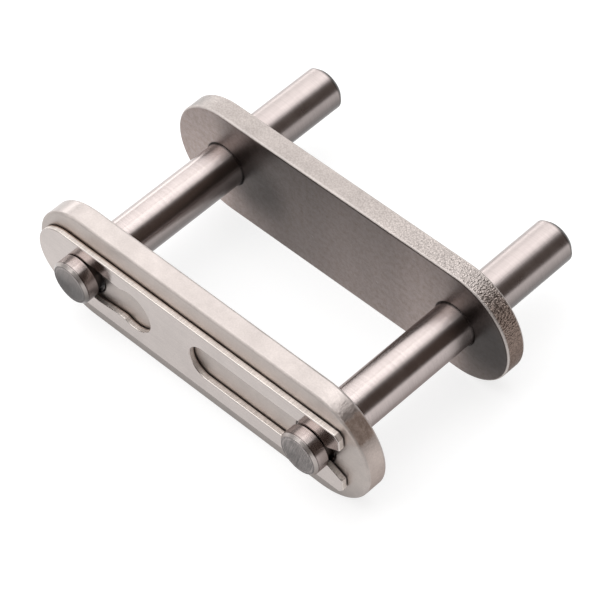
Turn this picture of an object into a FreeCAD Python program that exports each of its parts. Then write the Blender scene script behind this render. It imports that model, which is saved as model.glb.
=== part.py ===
import FreeCAD, Part
import math
import os

# Roller chain connecting link with extended pins and a spring clip, all sizes in mm.
# X runs along the chain from pin to pin, Y runs along the pins, Z is up.
# The link stands on the lower long edges of its two plates, clip side towards -Y.

# Chain sizes
PITCH = 38.1
PLATE_HEIGHT = 16.6
PLATE_THICKNESS = 2.9
PLATE_EDGE_ROUND = 0.35
# Free width between the plates, filled by the neighbouring inner link in a chain
INNER_GAP = 20.2

# Pins
PIN_DIAMETER = 5.94
PIN_EXTENSION = 14.7
PIN_TIP_BEVEL = 0.5
PIN_HEAD_BEVEL = 0.35
PIN_HEAD_LENGTH = 2.05
GROOVE_DEPTH = 0.47
GROOVE_CORNER_ROUND = 0.1

# Fits between pins and plates, as radial clearance
PRESS_FIT_CLEARANCE = 0.0
SLIP_FIT_CLEARANCE = 0.03
HOLE_LEAD_IN = 0.2

# Spring clip sheet and outline
CLIP_THICKNESS = 0.72
CLIP_HEIGHT = 10.2
CLIP_EDGE_ROUND = 0.12
# From the left pin's axis to the tip of the closed end
CLIP_CLOSED_REACH = 7.6
# From the right pin's axis to the ends of the legs
CLIP_LEG_REACH = 4.7
CLIP_LEG_CORNER = 0.6

# Spring clip keyhole: seat, belly, waist and the round hole that passes the pin head
CLIP_RELEASE_TRAVEL = 8.6
KEYHOLE_BELLY_OFFSET = 2.3
KEYHOLE_BELLY_FLARE = 0.35
KEYHOLE_WAIST_LENGTH = 0.86
KEYHOLE_WAIST_CLEARANCE = 0.12
KEYHOLE_BEND_ROUND = 2.0
KEYHOLE_NECK_ROUND = 0.6

# Spring clip slot between the legs
SLOT_START_OFFSET = 18.3
THROAT_HALF = 1.5
MOUTH_HALF = 2.75
THROAT_ROUND = 0.3
LEG_CORNER_ROUND = 0.15

# Clearances of the clip
CLIP_SEAT_CLEARANCE = 0.15
CLIP_PLATE_CLEARANCE = 0.16
CLIP_GROOVE_PLAY = 0.07
CLIP_HEAD_CLEARANCE = 0.12

# Places along the pins, from the front ends of the heads to the rear tips
HEAD_PROTRUSION = CLIP_PLATE_CLEARANCE + CLIP_THICKNESS + CLIP_GROOVE_PLAY + PIN_HEAD_LENGTH
PIN_LENGTH = HEAD_PROTRUSION + 2 * PLATE_THICKNESS + INNER_GAP + PIN_EXTENSION
Y_HEAD_FRONT = -PIN_LENGTH / 2
Y_COVER_FRONT = Y_HEAD_FRONT + HEAD_PROTRUSION
Y_COVER_BACK = Y_COVER_FRONT + PLATE_THICKNESS
Y_LINK_FRONT = Y_COVER_BACK + INNER_GAP
Y_LINK_BACK = Y_LINK_FRONT + PLATE_THICKNESS
Y_PIN_TIP = Y_LINK_BACK + PIN_EXTENSION
Y_GROOVE_FRONT = Y_HEAD_FRONT + PIN_HEAD_LENGTH
Y_CLIP_BACK = Y_COVER_FRONT - CLIP_PLATE_CLEARANCE
Y_CLIP_FRONT = Y_CLIP_BACK - CLIP_THICKNESS

# Pin axes
X_LEFT = -PITCH / 2
X_RIGHT = PITCH / 2
Z_AXIS = PLATE_HEIGHT / 2

PIN_RADIUS = PIN_DIAMETER / 2
GROOVE_RADIUS = PIN_RADIUS - GROOVE_DEPTH
ALONG_PIN = FreeCAD.Vector(0, 1, 0)


def point(x, z, y=0.0):
    """A point given by its place in the plates' plane, x along the chain and z up."""
    return FreeCAD.Vector(x, y, z)


def line(start, end):
    return Part.LineSegment(start, end).toShape()


def arc(centre, radius, start_angle, end_angle):
    """A circular arc in the plates' plane, angles in radians from +X towards +Z."""
    middle_angle = (start_angle + end_angle) / 2
    places = []
    for angle in (start_angle, middle_angle, end_angle):
        x = centre.x + radius * math.cos(angle)
        z = centre.z + radius * math.sin(angle)
        places.append(point(x, z, centre.y))
    return Part.Arc(*places).toShape()


def slab(edges, y_front, thickness):
    """The solid plate inside a closed outline drawn at y = 0."""
    face = Part.Face(Part.Wire(edges))
    face.translate(FreeCAD.Vector(0, y_front, 0))
    return face.extrude(ALONG_PIN * thickness)


def edges_in_planes(solid, y_values):
    """The edges of a solid that lie in one of the given planes across the pins."""
    found = []
    for edge in solid.Edges:
        box = edge.BoundBox
        for y in y_values:
            if abs(box.YMin - y) < 1e-6 and abs(box.YMax - y) < 1e-6:
                found.append(edge)
    return found


def drill(solid, x, radius, y_front, y_back):
    """Cut a round hole along a pin axis through a plate."""
    start = FreeCAD.Vector(x, y_front, Z_AXIS)
    return solid.cut(Part.makeCylinder(radius, y_back - y_front, start, ALONG_PIN))


def ease_hole(solid, x, radius, y_surface, inwards):
    """Cut the small lead-in cone where a hole meets a plate's surface."""
    outer = radius + HOLE_LEAD_IN
    start = FreeCAD.Vector(x, y_surface, Z_AXIS)
    cone = Part.makeCone(outer, radius, HOLE_LEAD_IN, start, ALONG_PIN * inwards)
    return solid.cut(cone)


def plate_blank(y_front):
    """A straight-sided plate with full round ends and tumbled edges, not yet drilled."""
    radius = PLATE_HEIGHT / 2
    left = point(X_LEFT, Z_AXIS)
    right = point(X_RIGHT, Z_AXIS)
    outline = [
        line(point(X_LEFT, 0), point(X_RIGHT, 0)),
        arc(right, radius, -math.pi / 2, math.pi / 2),
        line(point(X_RIGHT, PLATE_HEIGHT), point(X_LEFT, PLATE_HEIGHT)),
        arc(left, radius, math.pi / 2, 3 * math.pi / 2),
    ]
    blank = slab(outline, y_front, PLATE_THICKNESS)
    edges = edges_in_planes(blank, (y_front, y_front + PLATE_THICKNESS))
    return blank.makeFillet(PLATE_EDGE_ROUND, edges)


def cover_plate():
    """The removable front plate, a slip fit on both pins with eased holes."""
    plate = plate_blank(Y_COVER_FRONT)
    radius = PIN_RADIUS + SLIP_FIT_CLEARANCE
    for x in (X_LEFT, X_RIGHT):
        plate = drill(plate, x, radius, Y_COVER_FRONT, Y_COVER_BACK)
        plate = ease_hole(plate, x, radius, Y_COVER_FRONT, 1)
        plate = ease_hole(plate, x, radius, Y_COVER_BACK, -1)
    return plate


def pin_link_plate():
    """The back plate that grips both pins, with a lead-in where they were pressed through."""
    plate = plate_blank(Y_LINK_FRONT)
    radius = PIN_RADIUS + PRESS_FIT_CLEARANCE
    for x in (X_LEFT, X_RIGHT):
        plate = drill(plate, x, radius, Y_LINK_FRONT, Y_LINK_BACK)
        plate = ease_hole(plate, x, radius, Y_LINK_FRONT, 1)
    return plate


def pin(x):
    """A turned pin: bevelled head, clip groove, plain shank and bevelled rear tip."""
    ease = GROOVE_CORNER_ROUND
    profile = [
        (0, Y_HEAD_FRONT),
        (PIN_RADIUS - PIN_HEAD_BEVEL, Y_HEAD_FRONT),
        (PIN_RADIUS, Y_HEAD_FRONT + PIN_HEAD_BEVEL),
        (PIN_RADIUS, Y_GROOVE_FRONT - ease),
        (PIN_RADIUS - ease, Y_GROOVE_FRONT),
        (GROOVE_RADIUS, Y_GROOVE_FRONT),
        (GROOVE_RADIUS, Y_COVER_FRONT),
        (PIN_RADIUS, Y_COVER_FRONT),
        (PIN_RADIUS, Y_PIN_TIP - PIN_TIP_BEVEL),
        (PIN_RADIUS - PIN_TIP_BEVEL, Y_PIN_TIP),
        (0, Y_PIN_TIP),
    ]
    corners = [FreeCAD.Vector(x + radius, y, Z_AXIS) for radius, y in profile]
    face = Part.Face(Part.makePolygon(corners + corners[:1]))
    return face.revolve(FreeCAD.Vector(x, 0, Z_AXIS), ALONG_PIN, 360)


def mirrored(x, half_width):
    """Two corners of the clip's outline, one below and one above the line through the pins."""
    return [(x, Z_AXIS - half_width), (x, Z_AXIS + half_width)]


def round_corners(sheet, corners, radius):
    """Round the corners of a sheet where its outline turns, all through its thickness."""
    chosen = []
    for edge in sheet.Edges:
        box = edge.BoundBox
        for x, z in corners:
            upright = max(abs(box.XMin - x), abs(box.XMax - x), abs(box.ZMin - z), abs(box.ZMax - z))
            if upright < 1e-6:
                chosen.append(edge)
    return sheet.makeFillet(radius, chosen)


def clip_blank():
    """The clip's outer form: full round closed end, straight sides and two bevelled leg ends."""
    half = CLIP_HEIGHT / 2
    x_round = X_LEFT - CLIP_CLOSED_REACH + half
    x_end = X_RIGHT + CLIP_LEG_REACH
    corner = CLIP_LEG_CORNER
    top = Z_AXIS + half
    bottom = Z_AXIS - half
    outline = [
        arc(point(x_round, Z_AXIS), half, math.pi / 2, 3 * math.pi / 2),
        line(point(x_round, bottom), point(x_end - corner, bottom)),
        line(point(x_end - corner, bottom), point(x_end, bottom + corner)),
        line(point(x_end, bottom + corner), point(x_end, top - corner)),
        line(point(x_end, top - corner), point(x_end - corner, top)),
        line(point(x_end - corner, top), point(x_round, top)),
    ]
    blank = slab(outline, Y_CLIP_FRONT, CLIP_THICKNESS)
    return round_corners(blank, mirrored(x_end - corner, half), LEG_CORNER_ROUND)


def cut_keyhole(sheet):
    """The opening at the closed end: a seat for the groove that leads to a round hole.

    The round hole passes the pin's head. The clip then slides until the groove
    reaches the seat, past a waist that is just wide enough for it.
    """
    seat = GROOVE_RADIUS + CLIP_SEAT_CLEARANCE
    hole = PIN_RADIUS + CLIP_HEAD_CLEARANCE
    belly = seat + KEYHOLE_BELLY_FLARE
    waist = GROOVE_RADIUS + KEYHOLE_WAIST_CLEARANCE
    x_belly = X_LEFT + KEYHOLE_BELLY_OFFSET
    x_hole = X_LEFT + CLIP_RELEASE_TRAVEL
    x_neck = x_hole - math.sqrt(hole ** 2 - waist ** 2)
    x_waist = x_neck - KEYHOLE_WAIST_LENGTH
    neck_angle = math.pi - math.asin(waist / hole)
    outline = [
        arc(point(X_LEFT, Z_AXIS), seat, math.pi / 2, 3 * math.pi / 2),
        line(point(X_LEFT, Z_AXIS - seat), point(x_belly, Z_AXIS - belly)),
        line(point(x_belly, Z_AXIS - belly), point(x_waist, Z_AXIS - waist)),
        line(point(x_waist, Z_AXIS - waist), point(x_neck, Z_AXIS - waist)),
        arc(point(x_hole, Z_AXIS), hole, -neck_angle, neck_angle),
        line(point(x_neck, Z_AXIS + waist), point(x_waist, Z_AXIS + waist)),
        line(point(x_waist, Z_AXIS + waist), point(x_belly, Z_AXIS + belly)),
        line(point(x_belly, Z_AXIS + belly), point(X_LEFT, Z_AXIS + seat)),
    ]
    sheet = sheet.cut(slab(outline, Y_CLIP_FRONT, CLIP_THICKNESS))
    bends = mirrored(x_belly, belly) + mirrored(x_waist, waist)
    sheet = round_corners(sheet, bends, KEYHOLE_BEND_ROUND)
    return round_corners(sheet, mirrored(x_neck, waist), KEYHOLE_NECK_ROUND)


def cut_leg_slot(sheet):
    """The open slot between the legs: straight sides, a seat, the throat and a flared mouth."""
    seat = GROOVE_RADIUS + CLIP_SEAT_CLEARANCE
    x_start = X_LEFT + SLOT_START_OFFSET + seat
    throat_angle = math.asin(THROAT_HALF / seat)
    x_throat = X_RIGHT + seat * math.cos(throat_angle)
    x_end = X_RIGHT + CLIP_LEG_REACH
    outline = [
        arc(point(x_start, Z_AXIS), seat, math.pi / 2, 3 * math.pi / 2),
        line(point(x_start, Z_AXIS - seat), point(X_RIGHT, Z_AXIS - seat)),
        arc(point(X_RIGHT, Z_AXIS), seat, -math.pi / 2, -throat_angle),
        line(point(x_throat, Z_AXIS - THROAT_HALF), point(x_end, Z_AXIS - MOUTH_HALF)),
        line(point(x_end, Z_AXIS - MOUTH_HALF), point(x_end, Z_AXIS + MOUTH_HALF)),
        line(point(x_end, Z_AXIS + MOUTH_HALF), point(x_throat, Z_AXIS + THROAT_HALF)),
        arc(point(X_RIGHT, Z_AXIS), seat, throat_angle, math.pi / 2),
        line(point(X_RIGHT, Z_AXIS + seat), point(x_start, Z_AXIS + seat)),
    ]
    sheet = sheet.cut(slab(outline, Y_CLIP_FRONT, CLIP_THICKNESS))
    sheet = round_corners(sheet, mirrored(x_throat, THROAT_HALF), THROAT_ROUND)
    return round_corners(sheet, mirrored(x_end, MOUTH_HALF), LEG_CORNER_ROUND)


def spring_clip():
    """One stamped sheet of spring steel, its front edges rolled over by the die."""
    sheet = cut_leg_slot(cut_keyhole(clip_blank()))
    return sheet.makeFillet(CLIP_EDGE_ROUND, edges_in_planes(sheet, (Y_CLIP_FRONT,)))


os.makedirs("parts", exist_ok=True)
pieces = {
    "pin_link_plate": pin_link_plate(),
    "cover_plate": cover_plate(),
    "pin_left": pin(X_LEFT),
    "pin_right": pin(X_RIGHT),
    "spring_clip": spring_clip(),
}
for name, shape in pieces.items():
    shape.exportStep("parts/" + name + ".step")
    print(name, "valid", shape.isValid(), "volume", round(shape.Volume, 2))
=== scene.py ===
import math

import bpy
from mathutils import Matrix, Vector


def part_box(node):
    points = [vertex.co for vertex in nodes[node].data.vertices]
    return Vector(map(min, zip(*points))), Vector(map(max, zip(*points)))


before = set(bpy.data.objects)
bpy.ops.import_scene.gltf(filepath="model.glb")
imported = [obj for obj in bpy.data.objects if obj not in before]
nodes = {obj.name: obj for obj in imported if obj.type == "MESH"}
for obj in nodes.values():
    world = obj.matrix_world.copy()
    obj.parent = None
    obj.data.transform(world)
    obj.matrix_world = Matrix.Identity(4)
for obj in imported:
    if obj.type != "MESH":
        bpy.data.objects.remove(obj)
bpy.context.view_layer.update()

# Pin link plate
# The rear plate of the link, blanked from stainless steel strip and tumbled in stones until its
# edges are round. Both pins are pressed through it. Its outer face is a soft satin and its inner
# face a dull grey skin, darkened further with painted shade, and the sheared edge all round is
# grainy, with a worn line at each rim that is lightened as a painted highlight.

MM = 0.001
pin_low, pin_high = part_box("pin_right")
PIN_AXIS_X = (pin_low[0] + pin_high[0]) / 2 / MM
PIN_AXIS_Z = (pin_low[2] + pin_high[2]) / 2 / MM
PIN_RADIUS = (pin_high[0] - pin_low[0]) / 2 / MM

SATIN_FACE = "#AFA6A1"
# The dull inner face is darker than the satin one partly as painted shade, for the shaded floor between the
# plates that it mirrors
DULL_SHADED_FACE = "#857A77"
BROWN_SKIN = "#766962"
WORN_RIM_AND_HIGHLIGHT = "#C9C1BD"
REFLECTION_PATCH_LIGHT = "#BDAA9F"
REFLECTION_PATCH_DARK = "#9A877C"
# Tints of the reflection: plain, and darker at grazing angles as painted shade
UNSHADED_GRAZING = "#FFFFFF"
SHADED_GRAZING = "#C8C2C0"
FACE_ROUGHNESS = (0.31, 0.42)
RIM_ROUGHNESS = 0.58
REFLECTION_PATCH_ROUGHNESS = 0.55

# Depths below a face, in millimetres, over which one kind of surface turns into the next, and how
# far from the middle of the plate's thickness the dull skin and the satin have done so
RIM_BEGINS = (0.02, 0.1)
RIM_ENDS = (0.2, 0.4)
EDGE_BEGINS = (0.2, 0.36)
FACES_MEET = 0.5

# How far the rims are worn bright and lit with a painted highlight, on the dull side and on the satin side
RIM_WEAR_AND_HIGHLIGHT_INSIDE = 0.95
RIM_WEAR_AND_HIGHLIGHT_OUTSIDE = 0.4

# Patterns, in patches, lines, grains or dents per millimetre. The rolled lines and the grains are
# finer on real plates, and are drawn this coarse so that they show
CLOUDS_PER_MM = 0.33
LINES_PER_MM = (0.12, 1.0, 4.0)
SPECKS_PER_MM = 5.0
GRAIN_BENDS_PER_MM = 2.2
GRAINS_PER_MM = 4.2
DENTS_PER_MM = 0.42
MOTTLES_PER_MM = 1.4
WAVES_PER_MM = 0.75

# How far a grain's outline is bent, in millimetres, and the values of each pattern between which
# the grains, the dents and the brown mottles come up
GRAIN_BEND = 0.35
GRAIN_SPAN = (0.1, 0.75)
DENT_SPAN = (0.03, 0.1)
BROWN_SPAN = (0.42, 0.66)

# How much lighter and darker the torn grains are, for a tear of 1
GRAIN_LIGHTER = 0.46
GRAIN_DARKER = 0.14

# Heights of the relief, in millimetres
GRAIN_DEPTH = 0.07
DENT_DEPTH = 0.02
SPECK_HEIGHT = 0.004
LINE_HEIGHT = 0.006

# Dirt and painted shade in the crevice round each pin, and painted shade beside each pin: tone, and
# where each fades
CREVICE_TONE = 0.35
CREVICE_FADES = (0.1, 0.4)
PIN_SHADE_SHIFT = 4.5
PIN_SHADE_TONE = 0.42
PIN_SHADE_FADES = (2.0, 7.5)

# Painted light and shade on the dull skin: how bright it is from bottom to top, and at places along
# the plate in millimetres
SKIN_AT_BOTTOM = 1.18
SKIN_AT_TOP = 0.74
SKIN_ALONG = ((-27.3, 1.5), (27.3, 0.45), (-21.0, 1.6), (-17.5, 1.0), (-14.0, 0.73), (-10.0, 0.56),
              (-5.0, 0.67), (2.0, 0.88), (8.0, 0.95), (14.0, 1.3), (17.0, 1.25), (22.0, 0.5))

# The sheared edge tears more towards the right, where it is stained as well
TEAR_AT_LEFT = 0.3
END_STAIN_FROM_PIN = 2.0
END_STAIN_FROM_TIP = 1.5

# The tone of the painted shade at the very bottom of the plate
LOW_SHADE_TONE = 0.6

# The brown patch on a plate's right shoulder, a painted reflection of the dark pin
SHOULDER = (25.0, 0.0, 14.1)
SHOULDER_FADES = (2.1, 2.8)
SHOULDER_RAGGED = 1.6
REFLECTION_PATCH_ON_FACE = 0.3
REFLECTION_PATCH_ON_EDGE = 0.9

# Settings that several nodes share
SMOOTH = {"interpolation_type": "SMOOTHSTEP"}
FALLING = {"To Min": 1.0, "To Max": 0.0}
NOISE_SPAN = {"From Min": 0.3, "From Max": 0.7}
TIMES = {"operation": "MULTIPLY"}
COLOUR = {"data_type": "RGBA"}
COLOUR_TIMES = {"data_type": "RGBA", "blend_type": "MULTIPLY", 0: 1.0}


def linear(hex_colour):
    """An sRGB hex colour as the linear values that shaders take."""
    channels = []
    for start in (1, 3, 5):
        value = int(hex_colour[start:start + 2], 16) / 255
        low = value / 12.92
        high = ((value + 0.055) / 1.055) ** 2.4
        channels.append(low if value <= 0.04045 else high)
    return (*channels, 1.0)


def add(tree, kind, settings=None, **links):
    """Add a node, set its properties and plain inputs, and link the inputs that are given."""
    made = tree.nodes.new(kind)
    for name, value in (settings or {}).items():
        if isinstance(name, int) or name in made.inputs:
            made.inputs[name].default_value = value
        else:
            setattr(made, name, value)
    for name, source in links.items():
        is_number = name[1:].isdigit()
        socket = made.inputs[int(name[1:])] if is_number else made.inputs[name.replace("_", " ")]
        if hasattr(source, "outputs"):
            source = next(output for output in source.outputs if output.enabled)
        tree.links.new(source, socket)
    return made


def steel(name):
    """A new metal material with its tree, its shader and places on the piece in millimetres."""
    material = bpy.data.materials.new(name)
    material.use_nodes = True
    tree = material.node_tree
    shader = tree.nodes["Principled BSDF"]
    shader.inputs["Metallic"].default_value = 1.0
    place = add(tree, "ShaderNodeTexCoord")
    millimetres = add(tree, "ShaderNodeVectorMath", {"operation": "SCALE", "Scale": 1 / MM},
                      Vector=place.outputs["Object"])
    return material, tree, shader, millimetres.outputs["Vector"]


def dress(node_name, material):
    """Give a piece its finish in place of the plain one that it came with."""
    nodes[node_name].data.materials.clear()
    nodes[node_name].data.materials.append(material)


def plate_zones(tree, axes, low, high, outwards):
    """Where a plate is sheared edge, worn rim and outer face, told by the depth below its faces."""
    from_front = add(tree, "ShaderNodeMath", {"operation": "SUBTRACT", 1: low[1] / MM},
                     _0=axes.outputs["Y"])
    from_back = add(tree, "ShaderNodeMath", {"operation": "SUBTRACT", 0: high[1] / MM},
                    _1=axes.outputs["Y"])
    depth = add(tree, "ShaderNodeMath", {"operation": "MINIMUM"}, _0=from_front, _1=from_back)
    edge = add(tree, "ShaderNodeMapRange",
               {**SMOOTH, "From Min": EDGE_BEGINS[0], "From Max": EDGE_BEGINS[1]}, Value=depth)
    rim_in = add(tree, "ShaderNodeMapRange",
                 {**SMOOTH, "From Min": RIM_BEGINS[0], "From Max": RIM_BEGINS[1]}, Value=depth)
    rim_out = add(tree, "ShaderNodeMapRange",
                  {**SMOOTH, "From Min": RIM_ENDS[0], "From Max": RIM_ENDS[1], **FALLING}, Value=depth)
    rim = add(tree, "ShaderNodeMath", TIMES, _0=rim_in, _1=rim_out)
    middle = (low[1] + high[1]) / 2 / MM
    outer = add(tree, "ShaderNodeMapRange",
                {"From Min": middle - FACES_MEET * outwards, "From Max": middle + FACES_MEET * outwards},
                Value=axes.outputs["Y"])
    return edge, rim, outer


def crevice_dirt_and_shade(tree, axes, above):
    """The tone of the dirt and painted shade in the crevice round each pin."""
    side = add(tree, "ShaderNodeMath", {"operation": "ABSOLUTE"}, _0=axes.outputs["X"])
    beside = add(tree, "ShaderNodeMath", {"operation": "SUBTRACT", 1: PIN_AXIS_X}, _0=side)
    across = add(tree, "ShaderNodeCombineXYZ", X=beside, Z=above)
    radius = add(tree, "ShaderNodeVectorMath", {"operation": "LENGTH"}, _0=across)
    return add(tree, "ShaderNodeMapRange",
               {**SMOOTH, "From Min": PIN_RADIUS + CREVICE_FADES[0],
                "From Max": PIN_RADIUS + CREVICE_FADES[1], "To Min": CREVICE_TONE, "To Max": 1.0},
               Value=radius.outputs["Value"])


def dull_skin_and_shade(tree, axes, above, brown, low, high):
    """The inner face's colour: grey and brown mottles under painted light and shade."""
    # Painted shade: darker towards the top, and on the right of each pin, where the pin shades the face
    shaded = add(tree, "ShaderNodeMapRange",
                 {"From Min": 0.0, "From Max": high[2] / MM, "To Min": SKIN_AT_BOTTOM, "To Max": SKIN_AT_TOP},
                 Value=axes.outputs["Z"])
    from_pin = add(tree, "ShaderNodeMath", {"operation": "SUBTRACT", 1: PIN_AXIS_X + PIN_SHADE_SHIFT},
                   _0=axes.outputs["X"])
    from_pin = add(tree, "ShaderNodeMath", {"operation": "WRAP", 1: PIN_AXIS_X, 2: -PIN_AXIS_X}, _0=from_pin)
    pin_shade_place = add(tree, "ShaderNodeCombineXYZ", X=from_pin, Z=above)
    pin_shade_radius = add(tree, "ShaderNodeVectorMath", {"operation": "LENGTH"}, _0=pin_shade_place)
    pin_shade = add(tree, "ShaderNodeMapRange",
                {**SMOOTH, "From Min": PIN_SHADE_FADES[0], "From Max": PIN_SHADE_FADES[1], "To Min": PIN_SHADE_TONE,
                 "To Max": 1.0}, Value=pin_shade_radius.outputs["Value"])
    # Painted light and shade along the plate, at the places in SKIN_ALONG
    # The ramp holds half of each share, so that its colours stay within 1
    along = add(tree, "ShaderNodeMapRange", {"From Min": low[0] / MM, "From Max": high[0] / MM},
                Value=axes.outputs["X"])
    stops = add(tree, "ShaderNodeValToRGB", Fac=along)
    stops.color_ramp.interpolation = "EASE"
    elements = stops.color_ramp.elements
    for index, (x, share) in enumerate(SKIN_ALONG):
        position = (x - low[0] / MM) / ((high[0] - low[0]) / MM)
        stop = elements[index] if index < 2 else elements.new(position)
        stop.position = position
        stop.color = (share / 2, share / 2, share / 2, 1.0)
    light_and_shade_along = add(tree, "ShaderNodeMath", {"operation": "MULTIPLY", 1: 2.0}, _0=stops)
    dimmed = add(tree, "ShaderNodeMath", TIMES, _0=shaded, _1=pin_shade)
    dimmed = add(tree, "ShaderNodeMath", TIMES, _0=dimmed, _1=light_and_shade_along)
    # The skin's grey is partly painted shade
    skin = add(tree, "ShaderNodeMix", {**COLOUR, 6: linear(DULL_SHADED_FACE), 7: linear(BROWN_SKIN)}, _0=brown)
    return add(tree, "ShaderNodeMix", COLOUR_TIMES, _6=skin, _7=dimmed)


def shoulder_reflection_patch(tree, axes, mottle, edge, share):
    """How strongly a ragged brown patch, about 4 mm across, covers the right shoulder: a painted reflection.
    """
    flat = add(tree, "ShaderNodeCombineXYZ", X=axes.outputs["X"], Z=axes.outputs["Z"])
    away = add(tree, "ShaderNodeVectorMath", {"operation": "DISTANCE", 1: SHOULDER}, _0=flat)
    ragged = add(tree, "ShaderNodeMath", {"operation": "MULTIPLY_ADD", 1: SHOULDER_RAGGED},
                 _0=mottle, _2=away.outputs["Value"])
    reflection_patch = add(tree, "ShaderNodeMapRange",
               {**SMOOTH, "From Min": SHOULDER_FADES[0], "From Max": SHOULDER_FADES[1],
                "To Min": share, "To Max": 0.0}, Value=ragged)
    reflection_patch_here = add(tree, "ShaderNodeMix", {2: REFLECTION_PATCH_ON_FACE, 3: REFLECTION_PATCH_ON_EDGE}, _0=edge)
    return add(tree, "ShaderNodeMath", TIMES, _0=reflection_patch, _1=reflection_patch_here)


def plate_finish(name, node_name, outwards, edge_colour, end_colour, edge_roughness, end_roughness,
                 tear, wave, low_shade_top, shoulder_reflection):
    """Tumbled stainless plate: satin face, inner face dull with painted shade, torn edge, rims worn with
    painted highlight.

    outwards is 1 or -1, the way that the outer face looks along Y. tear scales the grain of the
    sheared edge, wave is the height of its slow wave, and painted shade low down reaches up to
    low_shade_top.
    """
    low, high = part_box(node_name)
    material, tree, shader, place = steel(name)
    axes = add(tree, "ShaderNodeSeparateXYZ", Vector=place)
    edge, rim, outer = plate_zones(tree, axes, low, high, outwards)
    # Cloudy patches, faint lines along the strip that the plate was cut from, specks and mottles
    cloud = add(tree, "ShaderNodeTexNoise", {"Scale": CLOUDS_PER_MM, "Detail": 4.0, "Roughness": 0.6},
                Vector=place)
    rolled = add(tree, "ShaderNodeVectorMath", {"operation": "MULTIPLY", 1: LINES_PER_MM}, _0=place)
    line = add(tree, "ShaderNodeTexNoise", {"Scale": 1.0, "Detail": 3.0, "Roughness": 0.6}, Vector=rolled)
    fine = add(tree, "ShaderNodeTexNoise", {"Scale": SPECKS_PER_MM, "Detail": 2.0, "Roughness": 0.7},
               Vector=place)
    mottle = add(tree, "ShaderNodeTexNoise", {"Scale": MOTTLES_PER_MM, "Detail": 6.0, "Roughness": 0.75},
                 Vector=place)
    brown = add(tree, "ShaderNodeMapRange", {"From Min": BROWN_SPAN[0], "From Max": BROWN_SPAN[1]},
                Value=mottle)
    # Torn grains of the sheared edge, with bent outlines
    bent = add(tree, "ShaderNodeTexNoise", {"Scale": GRAIN_BENDS_PER_MM, "Detail": 1.0}, Vector=place)
    shifted = add(tree, "ShaderNodeVectorMath",
                  {"operation": "MULTIPLY_ADD", 1: (GRAIN_BEND, GRAIN_BEND, GRAIN_BEND)},
                  _0=bent.outputs["Color"], _2=place)
    grain = add(tree, "ShaderNodeTexVoronoi", {"Scale": GRAINS_PER_MM, "Randomness": 1.0}, Vector=shifted)
    # Small dents from the tumbling stones
    dent = add(tree, "ShaderNodeTexVoronoi", {"Scale": DENTS_PER_MM, "Randomness": 1.0}, Vector=shifted)
    dented = add(tree, "ShaderNodeMapRange",
                 {**SMOOTH, "From Min": DENT_SPAN[0], "From Max": DENT_SPAN[1], **FALLING},
                 Value=dent.outputs["Distance"])
    above = add(tree, "ShaderNodeMath", {"operation": "SUBTRACT", 1: PIN_AXIS_Z}, _0=axes.outputs["Z"])
    crevice_tone = crevice_dirt_and_shade(tree, axes, above)
    skin = dull_skin_and_shade(tree, axes, above, brown, low, high)
    face_colour = add(tree, "ShaderNodeMix", {**COLOUR, 7: linear(SATIN_FACE)}, _0=outer, _6=skin)
    # The sheared edge is stained at the right end, and its rims are worn bright with a painted highlight
    at_end = add(tree, "ShaderNodeMapRange",
                 {**SMOOTH, "From Min": PIN_AXIS_X + END_STAIN_FROM_PIN,
                  "From Max": high[0] / MM - END_STAIN_FROM_TIP}, Value=axes.outputs["X"])
    sheared = add(tree, "ShaderNodeMix", {**COLOUR, 6: linear(edge_colour), 7: linear(end_colour)}, _0=at_end)
    edged = add(tree, "ShaderNodeMix", COLOUR, _0=edge, _6=face_colour, _7=sheared)
    rim_wear_and_highlight = add(tree, "ShaderNodeMix", {2: RIM_WEAR_AND_HIGHLIGHT_INSIDE, 3: RIM_WEAR_AND_HIGHLIGHT_OUTSIDE}, _0=outer)
    rim_share = add(tree, "ShaderNodeMath", TIMES, _0=rim, _1=rim_wear_and_highlight)
    rimmed = add(tree, "ShaderNodeMix", {**COLOUR, 7: linear(WORN_RIM_AND_HIGHLIGHT)}, _0=rim_share, _6=edged)
    # A brown patch on the right shoulder, painted reflection of the dark pin
    reflection_patch = shoulder_reflection_patch(tree, axes, mottle, edge, shoulder_reflection)
    reflection_patch_colour = add(tree, "ShaderNodeMix", {**COLOUR, 6: linear(REFLECTION_PATCH_DARK), 7: linear(REFLECTION_PATCH_LIGHT)},
                      _0=brown)
    reflection_patched = add(tree, "ShaderNodeMix", COLOUR, _0=reflection_patch, _6=rimmed, _7=reflection_patch_colour)
    # The patterns lighten and darken the metal by up to a tenth, and by more in the torn edge
    tones = []
    for pattern, darkest, lightest in ((cloud, 0.9, 1.08), (line, 0.97, 1.03), (fine, 0.94, 1.06)):
        tones.append(add(tree, "ShaderNodeMapRange", {**NOISE_SPAN, "To Min": darkest, "To Max": lightest},
                         Value=pattern))
    torn = add(tree, "ShaderNodeMapRange",
               {"From Min": GRAIN_SPAN[0], "From Max": GRAIN_SPAN[1], "To Min": 1.0 + GRAIN_LIGHTER * tear,
                "To Max": 1.0 - GRAIN_DARKER * tear}, Value=grain.outputs["Distance"])
    rougher = add(tree, "ShaderNodeMapRange",
                  {"From Min": 0.0, "From Max": PIN_AXIS_X, "To Min": TEAR_AT_LEFT, "To Max": 1.0},
                  Value=axes.outputs["X"])
    edge_tear = add(tree, "ShaderNodeMath", TIMES, _0=edge, _1=rougher)
    tone_edge = add(tree, "ShaderNodeMix", {2: 1.0}, _0=edge_tear, _3=torn)
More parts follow.
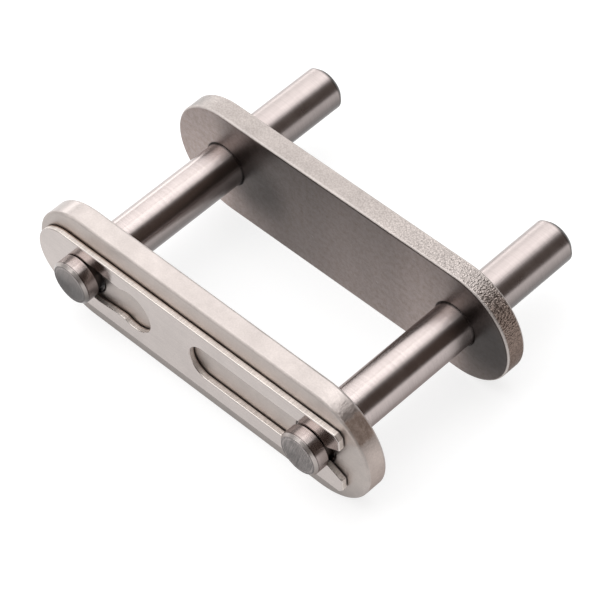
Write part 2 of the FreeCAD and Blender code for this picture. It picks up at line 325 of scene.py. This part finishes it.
    # Painted shade on the lower part of the outer face and edge, which the link lies on
    low_shade = add(tree, "ShaderNodeMapRange",
                {"From Min": 0.0, "From Max": low_shade_top, "To Min": LOW_SHADE_TONE, "To Max": 1.0},
                Value=axes.outputs["Z"])
    open_side = add(tree, "ShaderNodeMath", {"operation": "MAXIMUM"}, _0=outer, _1=edge)
    low_shade_here = add(tree, "ShaderNodeMix", {2: 1.0}, _0=open_side, _3=low_shade)
    tone = tones[0]
    for factor in (*tones[1:], tone_edge, crevice_tone, low_shade_here):
        tone = add(tree, "ShaderNodeMath", TIMES, _0=tone, _1=factor)
    coloured = add(tree, "ShaderNodeMix", COLOUR_TIMES, _6=reflection_patched, _7=tone)
    tree.links.new(coloured.outputs[2], shader.inputs["Base Color"])
    # Faces are satin, the sheared edge is smoother, and worn rims and the brown patch are rougher
    rough_face = add(tree, "ShaderNodeMapRange",
                     {**NOISE_SPAN, "To Min": FACE_ROUGHNESS[0], "To Max": FACE_ROUGHNESS[1]}, Value=cloud)
    rough_sheared = add(tree, "ShaderNodeMapRange", {"To Min": edge_roughness, "To Max": end_roughness},
                        Value=at_end)
    rough_edge = add(tree, "ShaderNodeMix", _0=edge, _2=rough_face, _3=rough_sheared)
    rough_rim = add(tree, "ShaderNodeMix", {3: RIM_ROUGHNESS}, _0=rim, _2=rough_edge)
    rough_patch = add(tree, "ShaderNodeMix", {3: REFLECTION_PATCH_ROUGHNESS}, _0=reflection_patch, _2=rough_rim)
    tree.links.new(rough_patch.outputs[0], shader.inputs["Roughness"])
    # Heights in millimetres: torn grain, dents, a slow wave in the sheared edge, specks and lines
    roll = add(tree, "ShaderNodeTexNoise", {"Scale": WAVES_PER_MM, "Detail": 3.0, "Roughness": 0.55},
               Vector=place)
    roll_height = add(tree, "ShaderNodeMath", {"operation": "MULTIPLY", 1: wave}, _0=roll)
    roll_height = add(tree, "ShaderNodeMath", TIMES, _0=roll_height, _1=edge_tear)
    grain_height = add(tree, "ShaderNodeMath", {"operation": "MULTIPLY", 1: -GRAIN_DEPTH * tear},
                       _0=grain.outputs["Distance"])
    grain_height = add(tree, "ShaderNodeMath", TIMES, _0=grain_height, _1=edge_tear)
    height = add(tree, "ShaderNodeMath", {"operation": "MULTIPLY_ADD", 1: -DENT_DEPTH},
                 _0=dented, _2=grain_height)
    height = add(tree, "ShaderNodeMath", {"operation": "ADD"}, _0=height, _1=roll_height)
    for pattern, rise in ((fine, SPECK_HEIGHT), (line, LINE_HEIGHT)):
        height = add(tree, "ShaderNodeMath", {"operation": "MULTIPLY_ADD", 1: rise}, _0=pattern, _2=height)
    bump = add(tree, "ShaderNodeBump", {"Distance": MM, "Strength": 1.0}, Height=height)
    tree.links.new(bump.outputs["Normal"], shader.inputs["Normal"])
    # Painted shade: at a grazing angle the right end of the sheared edge reflects less, for the shaded floor
    # it mirrors
    shaded_end_edge = add(tree, "ShaderNodeMath", TIMES, _0=edge, _1=at_end)
    grazing = add(tree, "ShaderNodeMix", {**COLOUR, 6: linear(UNSHADED_GRAZING), 7: linear(SHADED_GRAZING)},
                  _0=shaded_end_edge)
    tree.links.new(grazing.outputs[2], shader.inputs["Specular Tint"])
    return material


dress("pin_link_plate", plate_finish("tumbled_stainless_link_plate", "pin_link_plate", outwards=1,
                                     edge_colour="#9F9793", end_colour="#807169", edge_roughness=0.3,
                                     end_roughness=0.3, tear=1.3, wave=0.0, low_shade_top=14.0,
                                     shoulder_reflection=0.0))

# Cover plate
# The removable front plate, the same blank as the rear one but a slip fit on the pins. It was
# tumbled longer, so its sheared edge is brighter and runs in slow waves, with hardly any grain. A
# brown patch on its right shoulder is a painted reflection of the dark pin.

dress("cover_plate", plate_finish("tumbled_stainless_cover_plate", "cover_plate", outwards=-1,
                                  edge_colour="#B9B0AC", end_colour="#B3A7A1", edge_roughness=0.28,
                                  end_roughness=0.4, tear=0.12, wave=0.09, low_shade_top=6.0,
                                  shoulder_reflection=1.0))

# Pins
# Two centreless ground stainless pins, each with a turned head, clip groove and bevelled tip. The
# grinding runs round the pin, so light spreads along it and stays sharp across it. The cut end faces
# are dull and scratched, and the underside is darkened with painted shade.

GROUND_STEEL = "#BFB4B1"
TURNED_STEEL = "#544D4A"
HEAD_RIM = "#B4ACA8"
END_FACE_STEEL = "#766F6D"
PIN_ROUGHNESS = (0.21, 0.27)
PIN_SPREAD = 0.9
CENTRE_NUDGE = 0.02

# The painted shade on the underside: heights over the axis where it fades, and its tone behind the rear
# plate, where the pins' extended ends are duller and rougher as well
UNDERSIDE_SHADE_FADES = (-0.8, 2.4)
TAIL_UNDERSIDE_SHADE = 0.26
TAIL_DULL = 0.92
TAIL_ROUGHER = 0.06

# Dirt and painted shade where a pin goes into the rear plate: its tone, and its reach in millimetres
SEAT_DIRT_AND_SHADE_TONE = 0.6
SEAT_DIRT_AND_SHADE_REACH = 0.35

# Distances from an end face, in millimetres, over which each turned surface ends
FACE_ENDS = (0.01, 0.03)
HEAD_BEVEL_ENDS = (0.33, 0.38)
TIP_BEVEL_ENDS = (0.42, 0.54)

# Heights over the ground barrel, in millimetres, between which the groove's dull surface ends
GROOVE_ENDS = (-0.12, -0.04)

# Lines that the lathe tool left: on the end face, behind the head's bevel and behind the tip's
FACE_RING_FROM_RIM = 0.65
FACE_RING_FADES = (0.04, 0.14)
FACE_RING_TONE = 1.45
TOOL_RING_FROM_FACE = 0.45
TOOL_RING_FADES = (0.03, 0.09)
TOOL_RING_TONE = 0.5
TIP_RING_ENDS = (0.5, 0.8)
TIP_RING_TONE = 0.5

# Patterns per millimetre. The grinding lines are finer on real pins, and are drawn this coarse so
# that they show
GRINDING_PER_MM = (0.25, 5.0, 0.25)
PATCHES_PER_MM = 0.4

# How scratches lie on an end face, and their length, depth and width in millimetres. Then the
# values of the pattern between which they come up, and how much they darken and lighten
SCRATCH_SLANT = math.radians(-72)
SCRATCH_SIZE_MM = (1.8, 1.0, 0.1)
SCRATCH_SPAN = (0.35, 0.68)
SCRATCH_DARKER = 0.45
SCRATCH_LIGHTER = 0.6

# Heights of the relief, in millimetres
RING_HEIGHT = 0.002
SCRATCH_HEIGHT = 0.03


def pin_zones(tree, from_head, from_tip, radius):
    """Where a pin is end face, head bevel, and dull turned surface: its tip's bevel and its groove."""
    depth = add(tree, "ShaderNodeMath", {"operation": "MINIMUM"}, _0=from_head, _1=from_tip)
    end = add(tree, "ShaderNodeMapRange", {"From Min": FACE_ENDS[0], "From Max": FACE_ENDS[1], **FALLING},
              Value=depth)
    bevel_head = add(tree, "ShaderNodeMapRange",
                     {"From Min": HEAD_BEVEL_ENDS[0], "From Max": HEAD_BEVEL_ENDS[1], **FALLING},
                     Value=from_head)
    bevel_tip = add(tree, "ShaderNodeMapRange",
                    {"From Min": TIP_BEVEL_ENDS[0], "From Max": TIP_BEVEL_ENDS[1], **FALLING},
                    Value=from_tip)
    sunk = add(tree, "ShaderNodeMath", {"operation": "SUBTRACT", 1: PIN_RADIUS}, _0=radius)
    groove = add(tree, "ShaderNodeMapRange",
                 {"From Min": GROOVE_ENDS[0], "From Max": GROOVE_ENDS[1], **FALLING}, Value=sunk)
    groove = add(tree, "ShaderNodeMath", {"operation": "SUBTRACT", "use_clamp": True},
                 _0=groove, _1=bevel_head)
    turned = add(tree, "ShaderNodeMath", {"operation": "MAXIMUM"}, _0=bevel_tip, _1=groove)
    return end, bevel_head, turned


def lathe_rings(tree, from_head, from_tip, radius, end):
    """The tones of the bright ring on the faces, the dark line behind the head and the tip's ring."""
    rings = []
    for source, place, fades, ring_tone in (
            (radius, PIN_RADIUS - FACE_RING_FROM_RIM, FACE_RING_FADES, FACE_RING_TONE),
            (from_head, TOOL_RING_FROM_FACE, TOOL_RING_FADES, TOOL_RING_TONE)):
        away = add(tree, "ShaderNodeMath", {"operation": "SUBTRACT", 1: place}, _0=source)
        away = add(tree, "ShaderNodeMath", {"operation": "ABSOLUTE"}, _0=away)
        rings.append(add(tree, "ShaderNodeMapRange",
                         {**SMOOTH, "From Min": fades[0], "From Max": fades[1], "To Min": ring_tone,
                          "To Max": 1.0}, Value=away))
    tip_ring = add(tree, "ShaderNodeMapRange",
                   {**SMOOTH, "From Min": TIP_RING_ENDS[0], "From Max": TIP_RING_ENDS[1],
                    "To Min": TIP_RING_TONE, "To Max": 1.0}, Value=from_tip)
    tip_ring = add(tree, "ShaderNodeMath", {"operation": "MAXIMUM"}, _0=tip_ring, _1=end)
    return (*rings, tip_ring)


def pin_finish(name, node_name, scratches, underside_shade, outline_shade):
    """Ground barrel with painted shade low down, dull tip and groove, and scratched end faces.

    scratches is how strong the scratches are, underside_shade the tone of the painted shade on the
    underside between the plates, and outline_shade how much darker the pin's outline is there, as
    painted shade.
    """
    low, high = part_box(node_name)
    plate_low, plate_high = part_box("pin_link_plate")
    material, tree, shader, place = steel(name)
    centre = ((low[0] + high[0]) / 2 / MM, 0.0, (low[2] + high[2]) / 2 / MM)
    from_axis = add(tree, "ShaderNodeVectorMath", {"operation": "SUBTRACT", 1: centre}, _0=place)
    axes = add(tree, "ShaderNodeSeparateXYZ", Vector=from_axis)
    across = add(tree, "ShaderNodeCombineXYZ", X=axes.outputs["X"], Z=axes.outputs["Z"])
    length = add(tree, "ShaderNodeVectorMath", {"operation": "LENGTH"}, _0=across)
    radius = length.outputs["Value"]
    from_head = add(tree, "ShaderNodeMath", {"operation": "SUBTRACT", 1: low[1] / MM},
                    _0=axes.outputs["Y"])
    from_tip = add(tree, "ShaderNodeMath", {"operation": "SUBTRACT", 0: high[1] / MM},
                   _1=axes.outputs["Y"])
    end, bevel_head, turned = pin_zones(tree, from_head, from_tip, radius)
    face_ring, tool_ring, tip_ring = lathe_rings(tree, from_head, from_tip, radius, end)
    on_tail = add(tree, "ShaderNodeMath", {"operation": "GREATER_THAN", 1: plate_high[1] / MM},
                  _0=axes.outputs["Y"])
    # Lines round the pin from the grinding wheel, and soft patches
    ring_place = add(tree, "ShaderNodeVectorMath", {"operation": "MULTIPLY", 1: GRINDING_PER_MM},
                     _0=from_axis)
    rings = add(tree, "ShaderNodeTexNoise", {"Scale": 1.0, "Detail": 3.0, "Roughness": 0.6},
                Vector=ring_place)
    patch = add(tree, "ShaderNodeTexNoise", {"Scale": PATCHES_PER_MM, "Detail": 3.0}, Vector=place)
    # Scratches across the end faces
    slanted = add(tree, "ShaderNodeMapping",
                  {"vector_type": "TEXTURE", "Rotation": (0.0, SCRATCH_SLANT, 0.0), "Scale": SCRATCH_SIZE_MM},
                  Vector=place)
    scratch = add(tree, "ShaderNodeTexNoise",
                  {"Scale": 1.0, "Detail": 4.0, "Roughness": 0.65, "Distortion": 0.6}, Vector=slanted)
    scored = add(tree, "ShaderNodeMapRange",
                 {"From Min": SCRATCH_SPAN[0], "From Max": SCRATCH_SPAN[1],
                  "To Min": 1.0 - SCRATCH_DARKER * scratches, "To Max": 1.0 + SCRATCH_LIGHTER * scratches},
                 Value=scratch)
    scored = add(tree, "ShaderNodeMath", TIMES, _0=scored, _1=face_ring)
    # Painted shade on the lower half of the barrel, and dirt and painted shade where the pin goes into the
    # rear plate
    underside = add(tree, "ShaderNodeMapRange",
                    {**SMOOTH, "From Min": UNDERSIDE_SHADE_FADES[0], "From Max": UNDERSIDE_SHADE_FADES[1], **FALLING},
                    Value=axes.outputs["Z"])
    underside_shade_here = add(tree, "ShaderNodeMix", {2: underside_shade, 3: TAIL_UNDERSIDE_SHADE}, _0=on_tail)
    shaded_underside = add(tree, "ShaderNodeMix", {2: 1.0}, _0=underside, _3=underside_shade_here)
    tail_tone = add(tree, "ShaderNodeMix", {2: 1.0, 3: TAIL_DULL}, _0=on_tail)
    tail_tone = add(tree, "ShaderNodeMath", TIMES, _0=tip_ring, _1=tail_tone)
    to_plate = add(tree, "ShaderNodeMath", {"operation": "SUBTRACT", 0: plate_low[1] / MM},
                   _1=axes.outputs["Y"])
    near = add(tree, "ShaderNodeMath", {"operation": "ABSOLUTE"}, _0=to_plate)
    crevice_tone = add(tree, "ShaderNodeMapRange",
                {**SMOOTH, "From Min": 0.0, "From Max": SEAT_DIRT_AND_SHADE_REACH, "To Min": SEAT_DIRT_AND_SHADE_TONE,
                 "To Max": 1.0}, Value=near)
    # Bright ground barrel, dark turned groove and tip, pale bevel of the head, and grey end faces
    barrel = add(tree, "ShaderNodeMix", {**COLOUR, 6: linear(GROUND_STEEL), 7: linear(TURNED_STEEL)},
                 _0=turned)
    rimmed = add(tree, "ShaderNodeMix", {**COLOUR, 7: linear(HEAD_RIM)}, _0=bevel_head, _6=barrel)
    faced = add(tree, "ShaderNodeMix", {**COLOUR, 7: linear(END_FACE_STEEL)}, _0=end, _6=rimmed)
    tone = add(tree, "ShaderNodeMapRange", {**NOISE_SPAN, "To Min": 0.95, "To Max": 1.05}, Value=rings)
    tone_patch = add(tree, "ShaderNodeMapRange", {**NOISE_SPAN, "To Min": 0.95, "To Max": 1.04}, Value=patch)
    tone_end = add(tree, "ShaderNodeMix", {2: 1.0}, _0=end, _3=scored)
    for factor in (tone_patch, tone_end, crevice_tone, shaded_underside, tool_ring, tail_tone):
        tone = add(tree, "ShaderNodeMath", TIMES, _0=tone, _1=factor)
    coloured = add(tree, "ShaderNodeMix", COLOUR_TIMES, _6=faced, _7=tone)
    tree.links.new(coloured.outputs[2], shader.inputs["Base Color"])
    rough = add(tree, "ShaderNodeMapRange",
                {**NOISE_SPAN, "To Min": PIN_ROUGHNESS[0], "To Max": PIN_ROUGHNESS[1]}, Value=patch)
    rough = add(tree, "ShaderNodeMath", {"operation": "MULTIPLY_ADD", 1: TAIL_ROUGHER}, _0=on_tail, _2=rough)
    tree.links.new(rough.outputs[0], shader.inputs["Roughness"])
    # The spread of light runs along the pin on its barrel, and from the centre out on its ends. The
    # nudge gives it a direction at the very centre too
    outward = add(tree, "ShaderNodeVectorMath", {"operation": "ADD", 1: (CENTRE_NUDGE, 0.0, 0.0)},
                  _0=across)
    spread = add(tree, "ShaderNodeMix", {"data_type": "VECTOR", 4: (0.0, 1.0, 0.0)}, _0=end, _5=outward)
    turned_to_world = add(tree, "ShaderNodeVectorTransform",
                          {"vector_type": "VECTOR", "convert_from": "OBJECT", "convert_to": "WORLD"},
                          Vector=spread)
    tree.links.new(turned_to_world.outputs["Vector"], shader.inputs["Tangent"])
    shader.inputs["Anisotropic"].default_value = PIN_SPREAD
    # Painted reflection: between the plates one pin's outline reflects less, where it mirrors the dark rear
    # plate
    plain = add(tree, "ShaderNodeMath", {"operation": "MAXIMUM"}, _0=on_tail, _1=end)
    outline_shade_here = add(tree, "ShaderNodeMix", {2: outline_shade, 3: 0.0}, _0=plain)
    grazing = add(tree, "ShaderNodeMix", {**COLOUR, 6: linear(UNSHADED_GRAZING), 7: linear(SHADED_GRAZING)},
                  _0=outline_shade_here)
    tree.links.new(grazing.outputs[2], shader.inputs["Specular Tint"])
    # Heights in millimetres: grinding lines all over, and scratches on the end faces
    ring_height = add(tree, "ShaderNodeMath", {"operation": "MULTIPLY", 1: RING_HEIGHT}, _0=rings)
    scratch_height = add(tree, "ShaderNodeMath", {"operation": "MULTIPLY", 1: SCRATCH_HEIGHT * scratches},
                         _0=scratch)
    scratch_height = add(tree, "ShaderNodeMath", TIMES, _0=scratch_height, _1=end)
    height = add(tree, "ShaderNodeMath", {"operation": "ADD"}, _0=ring_height, _1=scratch_height)
    bump = add(tree, "ShaderNodeBump", {"Distance": MM, "Strength": 1.0}, Height=height)
    tree.links.new(bump.outputs["Normal"], shader.inputs["Normal"])
    return material


# The right pin is the more scratched, and the left one has the darker painted shade underneath
for name, scratches, underside_shade, outline_shade in (("pin_left", 0.35, 0.32, 0.0), ("pin_right", 1.0, 0.66, 1.0)):
    dress(name, pin_finish("ground_stainless_" + name, name, scratches, underside_shade, outline_shade))

# Spring clip
# One stamped sheet of hard rolled stainless spring steel. Its face keeps the faint lines of the
# rolling mill, and its edge the upright lines of the punch, both brighter than the plates.

CLIP_FACE = "#BAB1AD"
CLIP_EDGE = "#F2EAE4"
CLIP_GAP_SHADE = "#8E6748"
CLIP_FACE_ROUGHNESS = (0.11, 0.2)
CLIP_EDGE_ROUGHNESS = 0.58

# Depths below the sheet's face, in millimetres, over which the cut edge and the painted gap shade begin
CUT_BEGINS = (0.06, 0.13)
GAP_SHADE_BEGINS = (0.5, 0.66)

# How strong the painted gap shade is at its left end, and the part of that which is left at its right
GAP_SHADE_SHARE = 0.8
GAP_SHADE_AT_RIGHT = 0.1

# Patterns in lines, patches or specks per millimetre. Mill and punch lines are finer on a real clip,
# and are drawn this coarse so that they show
MILL_LINES_PER_MM = (0.1, 1.0, 5.0)
PUNCH_LINES_PER_MM = (7.0, 0.5, 7.0)
SHEET_CLOUDS_PER_MM = 0.28
SHEET_SPECKS_PER_MM = 6.0

# Heights of the relief, in millimetres
MILL_LINE_HEIGHT = 0.004
PUNCH_LINE_HEIGHT = 0.02
SHEET_SPECK_HEIGHT = 0.003

low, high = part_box("spring_clip")
clip_steel, tree, shader, place = steel("rolled_spring_steel_clip")
axes = add(tree, "ShaderNodeSeparateXYZ", Vector=place)
from_face = add(tree, "ShaderNodeMath", {"operation": "SUBTRACT", 1: low[1] / MM}, _0=axes.outputs["Y"])
edge = add(tree, "ShaderNodeMapRange", {**SMOOTH, "From Min": CUT_BEGINS[0], "From Max": CUT_BEGINS[1]},
           Value=from_face)
rolled = add(tree, "ShaderNodeVectorMath", {"operation": "MULTIPLY", 1: MILL_LINES_PER_MM}, _0=place)
line = add(tree, "ShaderNodeTexNoise", {"Scale": 1.0, "Detail": 4.0, "Roughness": 0.65}, Vector=rolled)
punched = add(tree, "ShaderNodeVectorMath", {"operation": "MULTIPLY", 1: PUNCH_LINES_PER_MM}, _0=place)
upright = add(tree, "ShaderNodeTexNoise", {"Scale": 1.0, "Detail": 2.0}, Vector=punched)
cloud = add(tree, "ShaderNodeTexNoise", {"Scale": SHEET_CLOUDS_PER_MM, "Detail": 4.0, "Roughness": 0.6},
            Vector=place)
fine = add(tree, "ShaderNodeTexNoise", {"Scale": SHEET_SPECKS_PER_MM, "Detail": 2.0, "Roughness": 0.7},
           Vector=place)
# Painted shade: a thin brown line at the back of the cut edge, by the shaded gap under the sheet,
# fading towards the right
gap_shade = add(tree, "ShaderNodeMapRange",
           {**SMOOTH, "From Min": GAP_SHADE_BEGINS[0], "From Max": GAP_SHADE_BEGINS[1], "To Max": GAP_SHADE_SHARE},
           Value=from_face)
gap_shade_end = add(tree, "ShaderNodeMapRange",
               {"From Min": low[0] / MM, "From Max": high[0] / MM, "To Min": 1.0, "To Max": GAP_SHADE_AT_RIGHT},
               Value=axes.outputs["X"])
gap_shade = add(tree, "ShaderNodeMath", TIMES, _0=gap_shade, _1=gap_shade_end)
colour = add(tree, "ShaderNodeMix", {**COLOUR, 6: linear(CLIP_FACE), 7: linear(CLIP_EDGE)}, _0=edge)
colour = add(tree, "ShaderNodeMix", {**COLOUR, 7: linear(CLIP_GAP_SHADE)}, _0=gap_shade, _6=colour)
# The patterns lighten and darken the sheet a little, and the punch lines do more to its edge
tones = []
for pattern, darkest, lightest in ((line, 0.965, 1.03), (cloud, 0.94, 1.04), (fine, 0.96, 1.04),
                                   (upright, 0.86, 1.1)):
    tones.append(add(tree, "ShaderNodeMapRange", {**NOISE_SPAN, "To Min": darkest, "To Max": lightest},
                     Value=pattern))
tones[3] = add(tree, "ShaderNodeMix", {2: 1.0}, _0=edge, _3=tones[3])
tone = tones[0]
for factor in tones[1:]:
    tone = add(tree, "ShaderNodeMath", TIMES, _0=tone, _1=factor)
coloured = add(tree, "ShaderNodeMix", COLOUR_TIMES, _6=colour, _7=tone)
tree.links.new(coloured.outputs[2], shader.inputs["Base Color"])
# The rolled face is smooth, and the punched edge is rough
rough = add(tree, "ShaderNodeMapRange",
            {**NOISE_SPAN, "To Min": CLIP_FACE_ROUGHNESS[0], "To Max": CLIP_FACE_ROUGHNESS[1]}, Value=cloud)
rough = add(tree, "ShaderNodeMix", {3: CLIP_EDGE_ROUGHNESS}, _0=edge, _2=rough)
tree.links.new(rough.outputs[0], shader.inputs["Roughness"])
# Heights in millimetres: mill lines all over, punch lines on the edge, and specks
line_height = add(tree, "ShaderNodeMath", {"operation": "MULTIPLY", 1: MILL_LINE_HEIGHT}, _0=line)
cut_height = add(tree, "ShaderNodeMath", {"operation": "MULTIPLY", 1: PUNCH_LINE_HEIGHT}, _0=upright)
cut_height = add(tree, "ShaderNodeMath", TIMES, _0=cut_height, _1=edge)
height = add(tree, "ShaderNodeMath", {"operation": "ADD"}, _0=line_height, _1=cut_height)
height = add(tree, "ShaderNodeMath", {"operation": "MULTIPLY_ADD", 1: SHEET_SPECK_HEIGHT},
             _0=fine, _2=height)
bump = add(tree, "ShaderNodeBump", {"Distance": MM, "Strength": 1.0}, Height=height)
tree.links.new(bump.outputs["Normal"], shader.inputs["Normal"])
dress("spring_clip", clip_steel)

# Studio
# A white floor, a large soft lamp high on the left behind the link, a fill in front, one overhead
# and a low one at the side, in a pale room whose darker right side draws the dark bands on the pins.

FLOOR_SIZE = 3.0
FLOOR_GREY = "#9C9C9C"
FLOOR_ROUGHNESS = 0.9
FLOOR_LIFT = 0.77

floor_mesh = bpy.data.meshes.new("floor")
half = FLOOR_SIZE / 2
floor_mesh.from_pydata([(-half, -half, 0), (half, -half, 0), (half, half, 0), (-half, half, 0)],
                       [], [(0, 1, 2, 3)])
floor = bpy.data.objects.new("floor", floor_mesh)
bpy.context.scene.collection.objects.link(floor)

# The floor's white is an emission that only the camera and reflections see: it lights nothing matte
floor_white = bpy.data.materials.new("white_card_floor")
floor_white.use_nodes = True
tree = floor_white.node_tree
shader = tree.nodes["Principled BSDF"]
shader.inputs["Base Color"].default_value = linear(FLOOR_GREY)
shader.inputs["Roughness"].default_value = FLOOR_ROUGHNESS
shader.inputs["Specular IOR Level"].default_value = 0.0
seen_by = add(tree, "ShaderNodeLightPath")
camera_or_glossy = add(tree, "ShaderNodeMath", {"operation": "MAXIMUM"},
                       _0=seen_by.outputs["Is Camera Ray"], _1=seen_by.outputs["Is Glossy Ray"])
seen = add(tree, "ShaderNodeMath", {"operation": "MAXIMUM"},
           _0=camera_or_glossy.outputs["Value"], _1=seen_by.outputs["Is Transmission Ray"])
lift = add(tree, "ShaderNodeMath", {"operation": "MULTIPLY", 1: FLOOR_LIFT}, _0=seen.outputs["Value"])
shader.inputs["Emission Color"].default_value = (1, 1, 1, 1)
tree.links.new(lift.outputs["Value"], shader.inputs["Emission Strength"])
floor_mesh.materials.append(floor_white)

LAMP_AIM_HEIGHT = 0.008


def direction_to(azimuth, elevation):
    """The direction towards a place in the room, from its azimuth and elevation in degrees."""
    a = math.radians(azimuth)
    e = math.radians(elevation)
    return Vector((math.cos(a) * math.cos(e), math.sin(a) * math.cos(e), math.sin(e)))


def softbox(name, azimuth, elevation, distance, width, height, radiance):
    """A rectangular lamp that faces the link, placed by the direction that it shines from."""
    back = direction_to(azimuth, elevation)
    lamp = bpy.data.lights.new(name, "AREA")
    lamp.shape = "RECTANGLE"
    lamp.size = width
    lamp.size_y = height
    lamp.energy = radiance * math.pi * width * height
    made = bpy.data.objects.new(name, lamp)
    made.rotation_euler = back.to_track_quat("Z", "Y").to_euler()
    made.location = back * distance + Vector((0, 0, LAMP_AIM_HEIGHT))
    made.visible_camera = False
    bpy.context.scene.collection.objects.link(made)


softbox("key_softbox", azimuth=128, elevation=45, distance=0.7, width=0.8, height=0.8, radiance=1.18)
softbox("front_softbox", azimuth=225, elevation=50, distance=0.7, width=0.7, height=0.6, radiance=1.6)
softbox("top_softbox", azimuth=0, elevation=88, distance=0.7, width=0.5, height=0.5, radiance=1.35)
softbox("low_softbox", azimuth=156, elevation=7, distance=0.8, width=0.6, height=0.2, radiance=1.9)

# The room is dark round two directions on the right and pale again down by the floor
DARK_ELEVATION = 27
DARK_AZIMUTH = 22
DARK_FULL_AT = 0.92
DARK_FRONT_AZIMUTH = -40
DARK_FRONT_FULL_AT = 0.9
DARK_BEGINS_AT = 0.7
LOW_FADES = (0.02, 0.15)
ROOM_PALE = (0.6, 0.6, 0.6, 1)
ROOM_DARK = (0.09, 0.07, 0.06, 1)
ROOM_LOW = (0.8, 0.8, 0.8, 1)

world = bpy.data.worlds.new("studio")
bpy.context.scene.world = world
world.use_nodes = True
tree = world.node_tree
background = tree.nodes["Background"]
direction = add(tree, "ShaderNodeTexCoord")
shades = []
for azimuth, full_at in ((DARK_AZIMUTH, DARK_FULL_AT), (DARK_FRONT_AZIMUTH, DARK_FRONT_FULL_AT)):
    towards = add(tree, "ShaderNodeVectorMath",
                  {"operation": "DOT_PRODUCT", 1: direction_to(azimuth, DARK_ELEVATION)},
                  _0=direction.outputs["Generated"])
    shades.append(add(tree, "ShaderNodeMapRange",
                      {**SMOOTH, "From Min": DARK_BEGINS_AT, "From Max": full_at},
                      Value=towards.outputs["Value"]))
shade = add(tree, "ShaderNodeMath", {"operation": "MAXIMUM"}, _0=shades[0], _1=shades[1])
room = add(tree, "ShaderNodeMix", {**COLOUR, 6: ROOM_PALE, 7: ROOM_DARK}, _0=shade)
up_and_down = add(tree, "ShaderNodeSeparateXYZ", Vector=direction.outputs["Generated"])
sweep = add(tree, "ShaderNodeMapRange",
            {**SMOOTH, "From Min": LOW_FADES[0], "From Max": LOW_FADES[1], **FALLING},
            Value=up_and_down.outputs["Z"])
studio = add(tree, "ShaderNodeMix", {**COLOUR, 7: ROOM_LOW}, _0=sweep, _6=room)
tree.links.new(studio.outputs[2], background.inputs["Color"])

# Camera
# Found from the plate edges and pin outlines in the photograph, on a 600 by 600 frame.

CAMERA_AZIMUTH = 48.58
CAMERA_ELEVATION = 49.45
CAMERA_ROLL = -5.15
CAMERA_DISTANCE = 367.46 * MM
CAMERA_TARGET = Vector((3.069, -5.262, 8.3)) * MM
FOCAL_PIXELS = 3129.6
PHOTO_PIXELS = 600
SENSOR = 36.0

a = math.radians(CAMERA_AZIMUTH)
e = math.radians(CAMERA_ELEVATION)
back = Vector((math.sin(a) * math.cos(e), -math.cos(a) * math.cos(e), math.sin(e)))
right = Vector((math.cos(a), math.sin(a), 0))
up = back.cross(right)
roll = math.radians(CAMERA_ROLL)
right_rolled = right * math.cos(roll) + up * math.sin(roll)
up_rolled = up * math.cos(roll) - right * math.sin(roll)
lens = bpy.data.cameras.new("camera")
lens.sensor_width = SENSOR
lens.lens = FOCAL_PIXELS * SENSOR / PHOTO_PIXELS
camera = bpy.data.objects.new("camera", lens)
turn = Matrix((right_rolled, up_rolled, back)).transposed()
camera.matrix_world = Matrix.Translation(CAMERA_TARGET + back * CAMERA_DISTANCE) @ turn.to_4x4()
bpy.context.scene.collection.objects.link(camera)
bpy.context.scene.camera = camera
bpy.context.scene.view_settings.view_transform = "Standard"
